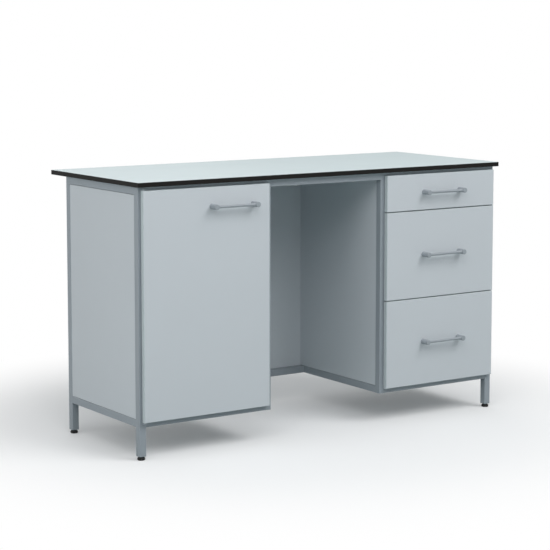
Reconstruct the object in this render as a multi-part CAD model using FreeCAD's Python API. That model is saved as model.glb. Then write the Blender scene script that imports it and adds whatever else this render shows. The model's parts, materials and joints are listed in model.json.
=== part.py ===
import FreeCAD, Part
import math
import os
from FreeCAD import Vector

# Laboratory bench on a square-tube frame: a one-door cupboard on the left, a kneehole in the
# middle and three drawers on runners on the right, under one laminate worktop.
# Millimetres. +X runs along the bench to the right, +Y to its back, +Z up. The origin is on the
# floor, under the middle of the bench's whole outline with its handles.

# ---- driving dimensions ----------------------------------------------------------------------

LENGTH = 1500.0             # worktop, left to right
DEPTH = 600.0               # worktop, front to back
HEIGHT = 905.0              # floor to the top of the worktop
WORKTOP_T = 16.0
WORKTOP_CHAMFER = 1.0

TUBE = 25.0                 # outside of the square frame tube
TUBE_WALL = 1.5
TUBE_CORNER = 2.0
END_OVERHANG = 10.0         # worktop past the frame at each end
FRONT_OVERHANG = 20.0       # worktop past the frame's front
REAR_OVERHANG = 90.0        # worktop past the frame's rear
CABINET = 510.0             # outside width of each cabinet's frame
FOOT_GAP = 14.0             # floor to the ends of the legs
RAIL_LIFT = 94.0            # ends of the legs to the bottom rails

BOARD = 16.0                # panels, floors, fronts and drawer sides
PANEL_RECESS = 1.0          # side panels behind the outside of the tubes
PANEL_GAP = 1.0             # side panels to the tubes around them
FLOOR_GAP = 0.5             # cabinet floors to posts and panels
BACK_EDGE = 12.0            # back panels inside the frame's outline
BACK_SEAM = 2.0             # between neighbouring back panels

FRONT_GAP = 2.0             # back of a front to the frame
FRONT_RIM = 1.5             # chamfer round the fronts' faces
FRONT_LIFT = 18.0           # fronts above the underside of the bottom rails
FRONT_DROP = 11.5           # fronts below the worktop
REVEAL_OUTER = 10.0         # frame left free beside a front, at the bench's end
REVEAL_INNER = 16.0         # frame left free beside a front, at the kneehole
SLOT = 3.0                  # between drawer fronts
TOP_FRONT_H = 127.0         # height of the top drawer's front

HANDLE_CENTRES = 160.0      # between the handle's posts
HANDLE_REACH = 35.0         # handle in front of its front
HANDLE_POST_D = 18.0
HANDLE_BAR_D = 10.0
HANDLE_BAR_SET = 9.0        # bar's axis behind the ends of the posts
DOOR_HANDLE_EDGE = 67.0     # door's free edge to the nearer post

PIVOT_EDGE = 5.0            # pivot's axis to the door's hinge-side edge
PIVOT_D = 5.0
PIVOT_CLEAR = 1.0           # door's edge to the bracket
PIVOT_PROUD = 0.7           # pin past the bracket
PIVOT_PLATE_W = 7.0
PIVOT_PLATE_L = 40.0
PIVOT_PLATE_T = 2.5
BRACKET_T = 3.0
BRACKET_RIM = 4.0           # bracket around the pivot's bore

CATCH_L = 42.0
CATCH_D = 24.0
CATCH_H = 14.0
CATCH_EDGE = 60.0           # door's free edge to the middle of the catch
STRIKE_L = 38.0
STRIKE_H = 11.0
STRIKE_GAP = 0.3            # strike plate to the magnet

SHELF_SIDE_GAP = 1.0
SHELF_FRONT_SET = 15.0      # shelf's front edge behind the posts
SHELF_REAR_SET = 5.0        # shelf's rear edge in front of the rear legs
PIN_D = 5.0
PIN_DEPTH = 8.0
PIN_REACH = 9.0
PIN_ROW_EDGE = 45.0         # rows of pin holes inside the shelf's front and rear edges

CLEAT_T = 1.5
CLEAT_H = 30.0
CLEAT_LEG = 20.0
CLEAT_END = 60.0            # end cleats from the floor and from the top rail
CLEAT_LIFT = 80.0           # middle cleats above the shelf

BOX_LIFT = 30.0             # drawer box above the lower edge of its front
BOX_DROP = 22.0             # drawer box below the upper edge of its front
DRAWER_BOTTOM_T = 4.0
GROOVE_LIFT = 10.0
GROOVE_DEPTH = 5.0
GROOVE_GAP = 0.1

RUNNER_SPACE = 12.7         # side space of a runner
RUNNER_H = 45.0
RUNNER_WALL = 1.2
RUNNER_GAP = 0.4            # running gap between nested members
RUNNER_BALL = 4.0           # ball space between the members' flanges
RUNNER_LIP = 3.0
RUNNER_BEND = 1.8           # outside radius of the rolled corners
RUNNER_AXIS = 37.5          # runner's middle above the drawer box's lower edge
RUNNER_FRONT_SET = 2.0      # runner behind the frame's front
RUNNER_REAR_SET = 13.0      # runner in front of the rear legs
CAGE_L = 120.0
CAGE_GAP = 0.4

PACKER_W = 40.0
PACKER_FRONT = 175.0        # first packers behind the front posts
PACKER_REAR = 25.0          # last packers in front of the rear legs

FOOT_D = 26.0
FOOT_H = 10.0               # thickness of the pad
STUD_D = 8.0
STUD_TOP = 30.0             # stud above the end of the leg
PLUG_GAP = 0.1
PLUG_H = 20.0
PLUG_FLANGE = 1.5
PLUG_INSET = 0.8            # flange inside the tube's outline
FIT = 0.05                  # radial running clearance

# ---- places worked out from them -------------------------------------------------------------

PROUD = HANDLE_REACH + FRONT_GAP + BOARD - FRONT_OVERHANG   # handles past the worktop's edge
Y_EDGE = PROUD / 2 - DEPTH / 2                              # worktop's front edge
Y_FRAME = Y_EDGE + FRONT_OVERHANG
Y_REAR = Y_EDGE + DEPTH - REAR_OVERHANG
Y_BACK_OF_FRONT = Y_FRAME - FRONT_GAP
Y_FACE = Y_BACK_OF_FRONT - BOARD

X_END = LENGTH / 2 - END_OVERHANG                           # frame's outer face, right
X_INNER = X_END - CABINET                                   # kneehole's right side
X_END_PANEL = X_END - PANEL_RECESS - BOARD                  # end panel's face in the cabinet
X_INNER_PANEL = X_INNER + PANEL_RECESS + BOARD              # inner panel's face in the cabinet

Z_LEG = FOOT_GAP
Z_RAIL = Z_LEG + RAIL_LIFT
Z_FLOOR = Z_RAIL + TUBE
Z_TOP = HEIGHT - WORKTOP_T
Z_UNDER = Z_TOP - TUBE
Z_FRONT_LOW = Z_RAIL + FRONT_LIFT
Z_FRONT_HIGH = Z_TOP - FRONT_DROP

X_FRONT_OUT = X_END - REVEAL_OUTER
X_FRONT_IN = X_INNER + REVEAL_INNER
X_PIVOT = -X_FRONT_OUT + PIVOT_EDGE
Y_PIVOT = Y_BACK_OF_FRONT - BOARD / 2

BIG_FRONT_H = (Z_FRONT_HIGH - Z_FRONT_LOW - TOP_FRONT_H - 2 * SLOT) / 2
DRAWERS = {
    "bottom": (Z_FRONT_LOW, Z_FRONT_LOW + BIG_FRONT_H),
    "middle": (Z_FRONT_LOW + BIG_FRONT_H + SLOT, Z_FRONT_LOW + 2 * BIG_FRONT_H + SLOT),
    "top": (Z_FRONT_HIGH - TOP_FRONT_H, Z_FRONT_HIGH),
}
RUNNER_Y0 = Y_FRAME + RUNNER_FRONT_SET
RUNNER_Y1 = Y_REAR - TUBE - RUNNER_REAR_SET
X_BOX_IN = X_INNER + TUBE + RUNNER_SPACE
X_BOX_OUT = X_END - TUBE - RUNNER_SPACE
Z_SHELF = (Z_FLOOR + BOARD + Z_UNDER) / 2
Y_SHELF_FRONT = Y_FRAME + TUBE + SHELF_FRONT_SET
Y_SHELF_REAR = Y_REAR - TUBE - SHELF_REAR_SET


# ---- shapes that repeat ----------------------------------------------------------------------

def block(x0, x1, y0, y1, z0, z1):
    """A plain board between two corners."""
    return Part.makeBox(x1 - x0, y1 - y0, z1 - z0, Vector(x0, y0, z0))


def rod(radius, start, end):
    """A round rod from one point to another."""
    run = end - start
    return Part.makeCylinder(radius, run.Length, start, run)


def in_plane(axis, a, b, along):
    """The point (a, b) of a section across the axis: YZ for X, XZ for Y and XY for Z."""
    return {"X": Vector(along, a, b), "Y": Vector(a, along, b), "Z": Vector(a, b, along)}[axis]


def outline(corners):
    """A closed wire through 3-D corners, each (point, radius) rounded by a tangent arc."""
    starts = []
    ends = []
    middles = []
    for index, (point, radius) in enumerate(corners):
        back = (corners[index - 1][0] - point).normalize()
        ahead = (corners[(index + 1) % len(corners)][0] - point).normalize()
        half = back.getAngle(ahead) / 2
        reach = radius / math.tan(half)
        bisector = (back + ahead).normalize()
        starts.append(point + back * reach)
        ends.append(point + ahead * reach)
        middles.append(point + bisector * (radius / math.sin(half) - radius))
    edges = []
    for index, (point, radius) in enumerate(corners):
        if radius > 0:
            edges.append(Part.Arc(starts[index], middles[index], ends[index]).toShape())
        following = starts[(index + 1) % len(corners)]
        if ends[index].distanceToPoint(following) > 1e-6:
            edges.append(Part.makeLine(ends[index], following))
    return Part.Wire(edges)


def extruded(axis, start, end, corners):
    """A section of (a, b, radius) corners, run along an axis from start to end."""
    placed = [(in_plane(axis, a, b, start), radius) for a, b, radius in corners]
    run = in_plane(axis, 0, 0, end - start)
    return Part.Face(outline(placed)).extrude(run)


def square(a, b, size, radius):
    """Corners of a rounded square about (a, b)."""
    half = size / 2
    return [(a - half, b - half, radius), (a + half, b - half, radius),
            (a + half, b + half, radius), (a - half, b + half, radius)]


def tube(axis, a, b, start, end):
    """A length of the frame's square tube about the line (a, b)."""
    outside = extruded(axis, start, end, square(a, b, TUBE, TUBE_CORNER))
    inside = extruded(axis, start, end, square(a, b, TUBE - 2 * TUBE_WALL, 0))
    return outside.cut(inside)


def mirrored(shape):
    """The same piece at the other end of the bench."""
    return shape.mirror(Vector(0, 0, 0), Vector(1, 0, 0))


def save(node, *solids):
    """Write one node, as one solid or as a group of separate solids."""
    shape = solids[0] if len(solids) == 1 else Part.makeCompound(list(solids))
    shape.exportStep(f"parts/{node}.step")
    print(f"{node:30s} {len(shape.Solids):3d} solids {shape.Volume / 1000:9.1f} cm3  valid {shape.isValid()}")


# ---- worktop ---------------------------------------------------------------------------------

def worktop():
    """The laminate slab, chamfered above and below."""
    slab = block(-LENGTH / 2, LENGTH / 2, Y_EDGE, Y_EDGE + DEPTH, Z_TOP, HEIGHT)
    flat = [edge for edge in slab.Edges if abs(edge.Vertexes[0].Z - edge.Vertexes[1].Z) < FIT]
    return slab.makeChamfer(WORKTOP_CHAMFER, flat)


# ---- frame -----------------------------------------------------------------------------------

def leg(x, y):
    """A corner leg from its levelling plug to the worktop."""
    return tube("Z", x, y, Z_LEG, Z_TOP)


def inner_post():
    """The kneehole's front post on the right, down to the underside of the bottom rails."""
    return tube("Z", X_INNER + TUBE / 2, Y_FRAME + TUBE / 2, Z_RAIL, Z_UNDER)


def long_rail(y, z):
    """A rail from end to end of the bench, between two corner legs."""
    return tube("X", y, z, -X_END + TUBE, X_END - TUBE)


def front_bottom_rail():
    """The rail under the right cabinet's front."""
    return tube("X", Y_FRAME + TUBE / 2, Z_RAIL + TUBE / 2, X_INNER + TUBE, X_END - TUBE)


def side_rails(z):
    """Four rails from front to rear, two to a cabinet."""
    start = Y_FRAME + TUBE
    end = Y_REAR - TUBE
    outer = tube("Y", X_END - TUBE / 2, z, start, end)
    inner = tube("Y", X_INNER + TUBE / 2, z, start, end)
    return [mirrored(outer), mirrored(inner), inner, outer]


# ---- panels ----------------------------------------------------------------------------------

def shelf_pin_mouths(x):
    """Where the two pins stand out of a cupboard side."""
    z = Z_SHELF - PIN_D / 2 - 2 * FIT
    return [Vector(x, y, z) for y in (Y_SHELF_FRONT + PIN_ROW_EDGE, Y_SHELF_REAR - PIN_ROW_EDGE)]


def end_panel():
    """The right end panel, set between the legs and the side rails."""
    return block(X_END_PANEL, X_END_PANEL + BOARD,
                 Y_FRAME + TUBE + PANEL_GAP, Y_REAR - TUBE - PANEL_GAP,
                 Z_FLOOR + PANEL_GAP, Z_UNDER - PANEL_GAP)


def inner_panel():
    """The kneehole's right wall, from its front post to the back panels."""
    return block(X_INNER_PANEL - BOARD, X_INNER_PANEL,
                 Y_FRAME + TUBE + PANEL_GAP, Y_REAR,
                 Z_FLOOR + PANEL_GAP, Z_UNDER - PANEL_GAP)


def drilled_for_pins(panel, x, side):
    """A cupboard side with a blind hole for each shelf pin."""
    for mouth in shelf_pin_mouths(x):
        end = mouth + Vector(side * (PIN_DEPTH + FIT), 0, 0)
        panel = panel.cut(rod(PIN_D / 2 + FIT, mouth, end))
    return panel


def back_panel(x0, x1):
    """A panel on the frame's rear face."""
    return block(x0, x1, Y_REAR, Y_REAR + BOARD, Z_RAIL + BACK_EDGE, Z_TOP - BACK_EDGE)


def cabinet_floor():
    """The right cabinet's floor on the bottom rails, notched round the posts."""
    y_front = Y_FRAME + TUBE + FLOOR_GAP
    y_rear = Y_REAR - TUBE - FLOOR_GAP
    x_post = X_INNER + TUBE + FLOOR_GAP
    x_leg = X_END - TUBE - FLOOR_GAP
    x_in = X_INNER_PANEL + FLOOR_GAP
    x_out = X_END_PANEL - FLOOR_GAP
    corners = [(x_post, Y_FRAME), (x_leg, Y_FRAME), (x_leg, y_front), (x_out, y_front),
               (x_out, y_rear), (x_leg, y_rear), (x_leg, Y_REAR), (x_in, Y_REAR),
               (x_in, y_front), (x_post, y_front)]
    return extruded("Z", Z_FLOOR, Z_FLOOR + BOARD, [(x, y, 0) for x, y in corners])


def cleat(x_panel, x_way, y_tube, y_way, z):
    """An angle cleat: one leg on the panel's face, the other on the upright tube."""
    reach = TUBE - PANEL_RECESS - BOARD - FLOOR_GAP
    corners = [(0, 0, 0), (reach, 0, 0), (reach, CLEAT_T, 0),
               (CLEAT_T, CLEAT_T, 0), (CLEAT_T, CLEAT_LEG, 0), (0, CLEAT_LEG, 0)]
    placed = [(x_panel + x_way * a, y_tube + y_way * b, radius) for a, b, radius in corners]
    return extruded("Z", z, z + CLEAT_H, placed)


def cleats():
    """Cleats on both legs of each end panel and on the post of each inner panel."""
    low = Z_FLOOR + BOARD + CLEAT_END
    middle = Z_SHELF + BOARD + CLEAT_LIFT
    high = Z_UNDER - CLEAT_END - CLEAT_H
    right = []
    for z in (low, middle, high):
        right.append(cleat(X_END_PANEL, -1, Y_FRAME + TUBE, 1, z))
        right.append(cleat(X_END_PANEL, -1, Y_REAR - TUBE, -1, z))
        right.append(cleat(X_INNER_PANEL, 1, Y_FRAME + TUBE, 1, z))
    return right + [mirrored(piece) for piece in right]


# ---- cupboard --------------------------------------------------------------------------------

def shelf():
    """The loose shelf on its four pins."""
    return block(-X_END_PANEL + SHELF_SIDE_GAP, -X_INNER_PANEL - SHELF_SIDE_GAP,
                 Y_SHELF_FRONT, Y_SHELF_REAR, Z_SHELF, Z_SHELF + BOARD)


def shelf_pins():
    """Four pins, two in each side of the cupboard."""
    pins = []
    for x, way in ((-X_END_PANEL, 1), (-X_INNER_PANEL, -1)):
        for mouth in shelf_pin_mouths(x):
            inside = Vector(way * PIN_DEPTH, 0, 0)
            outside = Vector(way * PIN_REACH, 0, 0)
            pins.append(rod(PIN_D / 2, mouth - inside, mouth + outside))
    return pins


def front_board(x0, x1, z0, z1):
    """A door or drawer front with a broken edge round its face."""
    board = block(x0, x1, Y_FACE, Y_BACK_OF_FRONT, z0, z1)
    rim = [edge for edge in board.Edges if all(vertex.Y < Y_FACE + FIT for vertex in edge.Vertexes)]
    return board.makeChamfer(FRONT_RIM, rim)


def handle(x, z):
    """A bow handle: two posts on the front's face, with a thinner bar welded between them."""
    y_tip = Y_FACE - HANDLE_REACH
    y_bar = y_tip + HANDLE_BAR_SET
    half = HANDLE_CENTRES / 2
    bow = rod(HANDLE_BAR_D / 2, Vector(x - half, y_bar, z), Vector(x + half, y_bar, z))
    for x_post in (x - half, x + half):
        bow = bow.fuse(rod(HANDLE_POST_D / 2, Vector(x_post, Y_FACE, z), Vector(x_post, y_tip, z)))
    return bow


def pivot_plate_block(z_edge, way, gap):
    """The room of a pivot plate let into the door's edge, with a gap around it."""
    half = PIVOT_PLATE_W / 2 + gap
    z_deep = z_edge - way * (PIVOT_PLATE_T + gap)
    return block(X_PIVOT - half, X_PIVOT + PIVOT_PLATE_L + gap, Y_PIVOT - half, Y_PIVOT + half,
                 min(z_edge, z_deep), max(z_edge, z_deep))


def pivot_plate(z_edge, way):
    """A plate let into the door's edge, with its pin standing out of it through the bracket."""
    foot = Vector(X_PIVOT, Y_PIVOT, z_edge)
    tip = Vector(0, 0, way * (PIVOT_CLEAR + BRACKET_T + PIVOT_PROUD))
    return pivot_plate_block(z_edge, way, 0).fuse(rod(PIVOT_D / 2, foot, foot + tip))


def pivot_bracket(z_edge, way):
    """A round-ended plate welded to the leg's front face; the door's pin turns in its bore."""
    z0 = z_edge + way * PIVOT_CLEAR
    half = PIVOT_D / 2 + BRACKET_RIM
    corners = [(X_PIVOT - half, Y_FRAME, 0), (X_PIVOT - half, Y_PIVOT - half, half),
               (X_PIVOT + half, Y_PIVOT - half, half), (X_PIVOT + half, Y_FRAME, 0)]
    plate = extruded("Z", z0, z0 + way * BRACKET_T, corners)
    mouth = Vector(X_PIVOT, Y_PIVOT, z0)
    return plate.cut(rod(PIVOT_D / 2 + FIT, mouth, mouth + Vector(0, 0, way * BRACKET_T)))


def door():
    """The cupboard door with a pocket for a pivot plate in each end."""
    board = front_board(-X_FRONT_OUT, -X_FRONT_IN, Z_FRONT_LOW, Z_FRONT_HIGH)
    for z_edge, way in ((Z_FRONT_HIGH, 1), (Z_FRONT_LOW, -1)):
        board = board.cut(pivot_plate_block(z_edge, way, FIT))
    return board


def catch():
    """The magnetic catch under the top rail, near the door's free edge."""
    x = -X_FRONT_IN - CATCH_EDGE
    return block(x - CATCH_L / 2, x + CATCH_L / 2, Y_FRAME, Y_FRAME + CATCH_D, Z_UNDER - CATCH_H, Z_UNDER)


def strike_plate():
    """The steel plate on the door's back that the magnet holds."""
    x = -X_FRONT_IN - CATCH_EDGE
    z = Z_UNDER - CATCH_H / 2
    return block(x - STRIKE_L / 2, x + STRIKE_L / 2, Y_BACK_OF_FRONT, Y_FRAME - STRIKE_GAP,
                 z - STRIKE_H / 2, z + STRIKE_H / 2)


# ---- drawers ---------------------------------------------------------------------------------

def drawer_box(z_low, z_high):
    """Two sides, an inner front and a back, grooved inside for the bottom."""
    z0 = z_low + BOX_LIFT
    z1 = z_high - BOX_DROP
    y0 = Y_BACK_OF_FRONT
    y1 = RUNNER_Y1
    inside = (X_BOX_IN + BOARD, X_BOX_OUT - BOARD)
    groove = block(inside[0] - GROOVE_DEPTH, inside[1] + GROOVE_DEPTH,
                   y0 + BOARD - GROOVE_DEPTH, y1 - BOARD + GROOVE_DEPTH,
                   z0 + GROOVE_LIFT, z0 + GROOVE_LIFT + DRAWER_BOTTOM_T)
    boards = [block(X_BOX_IN, inside[0], y0, y1, z0, z1),
              block(inside[1], X_BOX_OUT, y0, y1, z0, z1),
              block(inside[0], inside[1], y0, y0 + BOARD, z0, z1),
              block(inside[0], inside[1], y1 - BOARD, y1, z0, z1)]
    return [board.cut(groove) for board in boards]


def drawer_bottom(z_low):
    """The thin board in the box's groove."""
    z0 = z_low + BOX_LIFT + GROOVE_LIFT
    reach = GROOVE_DEPTH - GROOVE_GAP
    return block(X_BOX_IN + BOARD - reach, X_BOX_OUT - BOARD + reach,
                 Y_BACK_OF_FRONT + BOARD - reach, RUNNER_Y1 - BOARD + reach,
                 z0 + GROOVE_GAP, z0 + DRAWER_BOTTOM_T)


# ---- runners ---------------------------------------------------------------------------------

def channel(u_web, u_open, half_height, lip, z, y0, y1):
    """A rolled channel: its web at u_web, flanges to u_open, lips turned in at their ends."""
    way = 1 if u_open > u_web else -1
    wall = RUNNER_WALL
    upper = [(u_web, half_height, RUNNER_BEND), (u_open, half_height, 0)]
    if lip > 0:
        upper += [(u_open, half_height - lip, 0), (u_open - way * wall, half_height - lip, 0),
                  (u_open - way * wall, half_height - wall, 0)]
    else:
        upper.append((u_open, half_height - wall, 0))
    upper.append((u_web + way * wall, half_height - wall, 0))
    lower = [(u, -v, radius) for u, v, radius in reversed(upper)]
    return extruded("Y", y0, y1, [(u, z + v, radius) for u, v, radius in upper + lower])


def runner(z):
    """One runner in its own side space: cabinet, middle and drawer members, and ball cages.

    u runs from the cabinet's side, at 0, to the drawer's side, at RUNNER_SPACE.
    """
    outer_half = RUNNER_H / 2
    middle_half = outer_half - RUNNER_WALL - RUNNER_BALL
    inner_half = middle_half - RUNNER_WALL - RUNNER_BALL
    u_middle = RUNNER_WALL + RUNNER_GAP
    u_inner = u_middle + RUNNER_WALL + RUNNER_GAP
    u_middle_open = RUNNER_SPACE - RUNNER_WALL - RUNNER_GAP
    u_outer_open = u_middle_open - RUNNER_WALL - RUNNER_GAP
    cabinet = channel(0, u_outer_open, outer_half, RUNNER_LIP, z, RUNNER_Y0, RUNNER_Y1)
    middle = channel(u_middle, u_middle_open, middle_half, RUNNER_LIP, z, RUNNER_Y0, RUNNER_Y1)
    drawer = channel(RUNNER_SPACE, u_inner, inner_half, 0, z, RUNNER_Y0, RUNNER_Y1)
    y_cage = (RUNNER_Y0 + RUNNER_Y1) / 2
    cages = []
    for flange, u0, u1 in ((outer_half, u_middle, u_outer_open), (middle_half, u_inner, u_middle_open)):
        low = flange - RUNNER_WALL - RUNNER_BALL + CAGE_GAP
        high = flange - RUNNER_WALL - CAGE_GAP
        for way in (-1, 1):
            corners = [(u0 + CAGE_GAP, z + way * low, 0), (u1 - RUNNER_WALL - CAGE_GAP, z + way * low, 0),
                       (u1 - RUNNER_WALL - CAGE_GAP, z + way * high, 0), (u0 + CAGE_GAP, z + way * high, 0)]
            cages.append(extruded("Y", y_cage - CAGE_L / 2, y_cage + CAGE_L / 2, corners))
    return cabinet, [middle] + cages, drawer


def runner_pair(z):
    """The runner on the kneehole side of the drawers and its mirror image at the bench's end."""
    cabinet, middle, drawer = runner(z)
    x_left = X_INNER + TUBE
    x_right = X_END - TUBE
    pair = []
    for group in ([cabinet], middle, [drawer]):
        left = [piece.translated(Vector(x_left, 0, 0)) for piece in group]
        right = [mirrored(piece).translated(Vector(x_right, 0, 0)) for piece in group]
        pair.append(left + right)
    return pair


def packers():
    """Upright strips behind the runners, flush with the posts."""
    pieces = []
    for y in (Y_FRAME + TUBE + PACKER_FRONT, Y_REAR - TUBE - PACKER_REAR - PACKER_W):
        for x0, x1 in ((X_INNER_PANEL, X_INNER + TUBE), (X_END - TUBE, X_END_PANEL)):
            pieces.append(block(x0, x1, y, y + PACKER_W, Z_FLOOR + BOARD, Z_UNDER - PANEL_GAP))
    return pieces


# ---- levelling feet --------------------------------------------------------------------------

def plug(x, y):
    """A threaded plug in the end of a leg, with a thin flange under the tube."""
    body = extruded("Z", Z_LEG, Z_LEG + PLUG_H, square(x, y, TUBE - 2 * TUBE_WALL - 2 * PLUG_GAP, 0))
    flange = extruded("Z", Z_LEG - PLUG_FLANGE, Z_LEG, square(x, y, TUBE - 2 * PLUG_INSET, 0))
    bore = rod(STUD_D / 2 + FIT, Vector(x, y, Z_LEG - PLUG_FLANGE), Vector(x, y, Z_LEG + PLUG_H))
    return body.fuse(flange).cut(bore)


def foot(x, y):
    """A levelling foot: a round pad moulded on the end of the stud that screws into the plug."""
    profile = [(0, 0), (FOOT_D / 2, 0), (FOOT_D / 2, FOOT_H), (STUD_D / 2, FOOT_H),
               (STUD_D / 2, Z_LEG + STUD_TOP), (0, Z_LEG + STUD_TOP)]
    half = outline([(Vector(x + radius, y, z), 0) for radius, z in profile])
    return Part.Face(half).revolve(Vector(x, y, 0), Vector(0, 0, 1), 360)


# ---- assembly --------------------------------------------------------------------------------

def build():
    """Write every node of the bench."""
    os.makedirs("parts", exist_ok=True)
    x_leg = X_END - TUBE / 2
    y_front = Y_FRAME + TUBE / 2
    y_rear = Y_REAR - TUBE / 2

    save("worktop", worktop())

    corners = {"front_left": (-x_leg, y_front), "front_right": (x_leg, y_front),
               "rear_left": (-x_leg, y_rear), "rear_right": (x_leg, y_rear)}
    for name, (x, y) in corners.items():
        save(f"leg_{name}", leg(x, y))
        save(f"foot_{name}", foot(x, y))
    save("leg_plugs", *[plug(x, y) for x, y in corners.values()])
    save("post_inner_left", mirrored(inner_post()))
    save("post_inner_right", inner_post())
    save("rail_top_front", long_rail(y_front, Z_TOP - TUBE / 2))
    save("rail_top_rear", long_rail(y_rear, Z_TOP - TUBE / 2))
    save("rail_bottom_rear", long_rail(y_rear, Z_RAIL + TUBE / 2))
    save("rail_bottom_front_left", mirrored(front_bottom_rail()))
    save("rail_bottom_front_right", front_bottom_rail())
    save("side_rails_top", *side_rails(Z_TOP - TUBE / 2))
    save("side_rails_bottom", *side_rails(Z_RAIL + TUBE / 2))

    save("panel_end_left", drilled_for_pins(mirrored(end_panel()), -X_END_PANEL, -1))
    save("panel_end_right", end_panel())
    save("panel_inner_left", drilled_for_pins(mirrored(inner_panel()), -X_INNER_PANEL, 1))
    save("panel_inner_right", inner_panel())
    save("panel_cleats", *cleats())
    seam = X_INNER + TUBE / 2
    outer = X_END - BACK_EDGE
    half = BACK_SEAM / 2
    save("back_panel_left", back_panel(-outer, -seam - half))
    save("back_panel_kneehole", back_panel(-seam + half, seam - half))
    save("back_panel_right", back_panel(seam + half, outer))
    save("cupboard_floor", mirrored(cabinet_floor()))
    save("drawer_cabinet_floor", cabinet_floor())

    save("shelf", shelf())
    save("shelf_pins", *shelf_pins())
    save("door_panel", door())
    z_handle = Z_FRONT_HIGH - TOP_FRONT_H / 2
    save("door_handle", handle(-X_FRONT_IN - DOOR_HANDLE_EDGE - HANDLE_CENTRES / 2, z_handle))
    save("door_pivot_plates", pivot_plate(Z_FRONT_HIGH, 1), pivot_plate(Z_FRONT_LOW, -1))
    save("door_pivot_brackets", pivot_bracket(Z_FRONT_HIGH, 1), pivot_bracket(Z_FRONT_LOW, -1))
    save("door_catch", catch())
    save("door_strike_plate", strike_plate())

    cabinet_members = []
    for name, (z_low, z_high) in DRAWERS.items():
        cabinet, middle, drawer = runner_pair(z_low + BOX_LIFT + RUNNER_AXIS)
        cabinet_members += cabinet
        save(f"drawer_{name}_front", front_board(X_FRONT_IN, X_FRONT_OUT, z_low, z_high))
        save(f"drawer_{name}_box", *drawer_box(z_low, z_high))
        save(f"drawer_{name}_base", drawer_bottom(z_low))
        save(f"drawer_{name}_handle", handle((X_FRONT_IN + X_FRONT_OUT) / 2, (z_low + z_high) / 2))
        save(f"drawer_{name}_runner_inner", *drawer)
        save(f"drawer_{name}_runner_middle", *middle)
    save("runner_cabinet_members", *cabinet_members)
    save("runner_packers", *packers())


build()
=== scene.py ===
# %% [markdown]
# # The looks of a laboratory bench
#
# The bench is a square-tube frame with a worktop of compact laminate, a cupboard on the left, a
# kneehole in the middle and three drawers on the right. Its pieces come from a fixed frame of
# solids at their real size. This lesson gives every surface its finish and models the small
# things that the solids leave out: rounded handles, threads, weld seams, screws and a catch.

# %% Load the frame
import json
import math

import bmesh
import bpy
from mathutils import Matrix, Vector


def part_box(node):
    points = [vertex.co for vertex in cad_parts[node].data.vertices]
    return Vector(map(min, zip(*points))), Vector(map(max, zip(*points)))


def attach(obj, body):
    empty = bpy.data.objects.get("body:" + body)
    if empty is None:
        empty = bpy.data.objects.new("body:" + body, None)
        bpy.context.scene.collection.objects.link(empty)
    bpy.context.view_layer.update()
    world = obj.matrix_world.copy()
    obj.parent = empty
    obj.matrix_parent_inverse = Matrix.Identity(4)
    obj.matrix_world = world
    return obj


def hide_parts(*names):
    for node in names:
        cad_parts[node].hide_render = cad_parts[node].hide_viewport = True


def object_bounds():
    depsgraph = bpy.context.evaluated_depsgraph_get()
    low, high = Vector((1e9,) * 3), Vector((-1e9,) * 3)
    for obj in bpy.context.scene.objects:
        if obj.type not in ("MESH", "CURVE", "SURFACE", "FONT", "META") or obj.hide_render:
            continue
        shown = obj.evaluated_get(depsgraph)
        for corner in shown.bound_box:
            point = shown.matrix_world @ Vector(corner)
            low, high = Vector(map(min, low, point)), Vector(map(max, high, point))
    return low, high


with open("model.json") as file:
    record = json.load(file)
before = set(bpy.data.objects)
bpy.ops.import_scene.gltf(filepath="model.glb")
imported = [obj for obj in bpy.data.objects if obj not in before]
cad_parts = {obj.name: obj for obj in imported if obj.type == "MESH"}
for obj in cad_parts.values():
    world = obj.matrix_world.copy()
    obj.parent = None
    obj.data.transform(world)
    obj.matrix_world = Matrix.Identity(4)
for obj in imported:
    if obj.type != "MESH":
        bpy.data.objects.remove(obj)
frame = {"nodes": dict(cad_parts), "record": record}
bpy.context.view_layer.update()
solids_low, solids_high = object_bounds()
MM = 0.001
bench_sides = [round(side, 3) for side in solids_high - solids_low]
print("bench", bench_sides, "m,", len(frame["nodes"]), "solids")

# %% [markdown]
# ## Where things are
#
# Nothing is placed by eye. The corners of a few solids give the tube's width, the height of the
# rails and the faces of the boards, and the rest of the lesson works from these.

# %% Places on the frame
TUBE_CORNER = 2.0 * MM

worktop_low, worktop_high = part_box("worktop")
leg_low, leg_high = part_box("leg_front_right")
TUBE = leg_high.x - leg_low.x
HALF = TUBE / 2
LEG_X = leg_high.x - HALF
POST_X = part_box("post_inner_right")[1].x - HALF
FRONT_Y = leg_low.y + HALF
REAR_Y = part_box("leg_rear_right")[0].y + HALF
BOTTOM_RAIL_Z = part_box("rail_bottom_rear")[0].z + HALF
TOP_RAIL_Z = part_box("rail_top_front")[0].z + HALF
CORNERS = {
    "front_left": (-LEG_X, FRONT_Y),
    "front_right": (LEG_X, FRONT_Y),
    "rear_left": (-LEG_X, REAR_Y),
    "rear_right": (LEG_X, REAR_Y),
}
DRAWERS = ("bottom", "middle", "top")
print("tube", round(TUBE / MM, 1), "mm, legs at x", round(LEG_X, 4), "posts at x", round(POST_X, 4))

# %% [markdown]
# ## Camera
#
# A long lens from the front left and a little above the worktop keeps the uprights nearly
# parallel. A small vertical shift of the picture lets the camera tilt down less, which helps too.

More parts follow.
